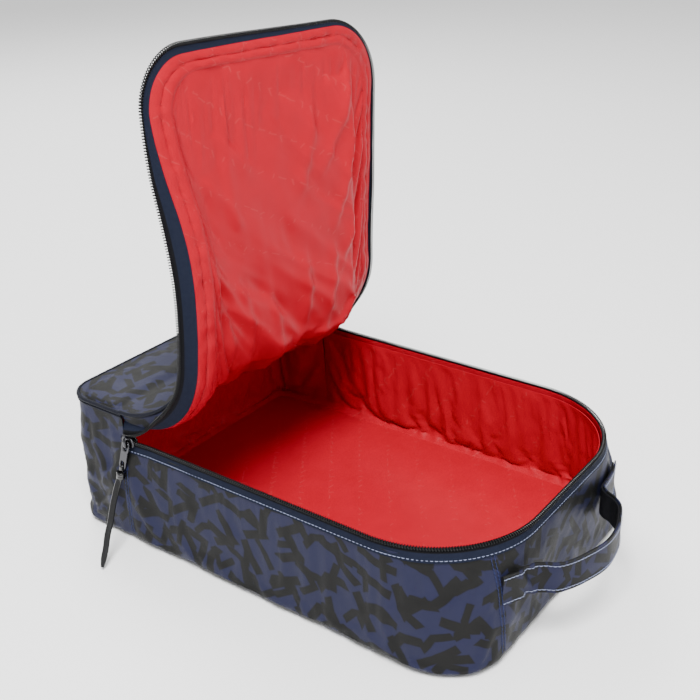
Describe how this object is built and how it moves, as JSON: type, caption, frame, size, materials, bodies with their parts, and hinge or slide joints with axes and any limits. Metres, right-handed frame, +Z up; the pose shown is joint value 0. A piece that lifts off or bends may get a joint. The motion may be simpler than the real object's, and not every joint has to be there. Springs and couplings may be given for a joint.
{
  "type": "shoe bag",
  "caption": "Soft rectangular shoe bag lying on its back, with a zip-round padded lid that folds up from the heel end, a red-lined compartment and a carry handle on the end.",
  "frame": {"origin": "centre of the base's footprint, on the surface it rests on", "axes": "+X to the handle end, +Y across the bag away from the side where the zip starts, +Z up"},
  "size_m": [0.426, 0.3174, 0.4016],
  "materials": {
    "printed_fabric": "navy woven nylon with a tone-on-tone charcoal stroke print and a soft purple-blue sheen",
    "lining": "bright red satin nylon, soft sheen, loose folds",
    "facing": "red lining strip with a row of stitches",
    "foam": "thin closed-cell padding, hidden",
    "board": "thin plastic stiffening board, hidden",
    "zip_tape": "navy woven zip tape with a black strip beside the coil",
    "zip_coil": "black nylon coil",
    "piping": "near-black woven piping",
    "slider_metal": "glossy gunmetal black",
    "thong_leather": "glossy black coated leather",
    "webbing": "black woven webbing"
  },
  "bodies": {
    "bag": {"base_panel": "printed_fabric", "base_board": "board", "base_lining": "lining", "near_side_panel": "printed_fabric", "near_side_foam": "foam", "near_side_lining": "lining", "far_side_panel": "printed_fabric", "far_side_foam": "foam", "far_side_lining": "lining", "handle_end_panel": "printed_fabric", "handle_end_foam": "foam", "handle_end_lining": "lining", "heel_gusset": "printed_fabric", "heel_foam": "foam", "heel_lining": "lining", "rim_facing": "facing", "body_zip_tape": "zip_tape", "body_zip_coil": "zip_coil", "zip_end_stops": "zip_coil", "heel_top_panel": "printed_fabric", "heel_top_foam": "foam", "heel_top_lining": "lining", "heel_piping": "piping", "heel_band": "printed_fabric", "heel_zip_tape": "zip_tape", "handle_tabs": "printed_fabric"},
    "fold": {"fold_panel": "printed_fabric", "fold_foam": "foam", "fold_lining": "lining", "fold_band": "printed_fabric", "fold_facing": "facing", "fold_zip_tape": "zip_tape", "fold_zip_coil": "zip_coil", "fold_piping": "piping"},
    "lid": {"lid_panel": "printed_fabric", "lid_foam": "foam", "lid_lining": "lining", "lid_band": "printed_fabric", "lid_facing": "facing", "lid_zip_tape": "zip_tape", "lid_zip_coil": "zip_coil", "lid_piping": "piping"},
    "slider": {"zip_slider": "slider_metal", "slider_bridge": "slider_metal"},
    "puller": {"puller": "slider_metal"},
    "thong": {"thong_knot": "thong_leather", "pull_thong": "thong_leather"},
    "handle": {"handle_strap": "printed_fabric", "handle_webbing": "webbing"}
  },
  "joints": [
    {"name": "lid_fold_lower", "type": "hinge", "parent": "bag", "child": "fold", "pos_m": [-0.10315, 0, 0.117], "axis": [0, -1, 0], "range_deg": [-45, 40]},
    {"name": "lid_fold_upper", "type": "hinge", "parent": "fold", "child": "lid", "pos_m": [-0.068, 0, 0.15215], "axis": [0, -1, 0], "range_deg": [-45, 40]},
    {"name": "zip_slide", "type": "slide", "parent": "bag", "child": "slider", "axis": [1, 0, 0], "range_m": [0, 0.22]},
    {"name": "puller_swing", "type": "hinge", "parent": "slider", "child": "puller", "pos_m": [-0.119, -0.1368, 0.095], "axis": [-0.9511, 0, 0.309], "range_deg": [0, 120]},
    {"name": "thong_swing", "type": "hinge", "parent": "puller", "child": "thong", "pos_m": [-0.12703, -0.1368, 0.07027], "axis": [-0.9511, 0, 0.309], "range_deg": [0, 60]},
    {"name": "handle_swing", "type": "hinge", "parent": "bag", "child": "handle", "pos_m": [0.199, 0, 0.059], "axis": [0, -1, 0], "range_deg": [-40, 40]}
  ],
  "couplings": [
    {"joint": "lid_fold_upper", "follows": "lid_fold_lower", "ratio": 1}
  ]
}
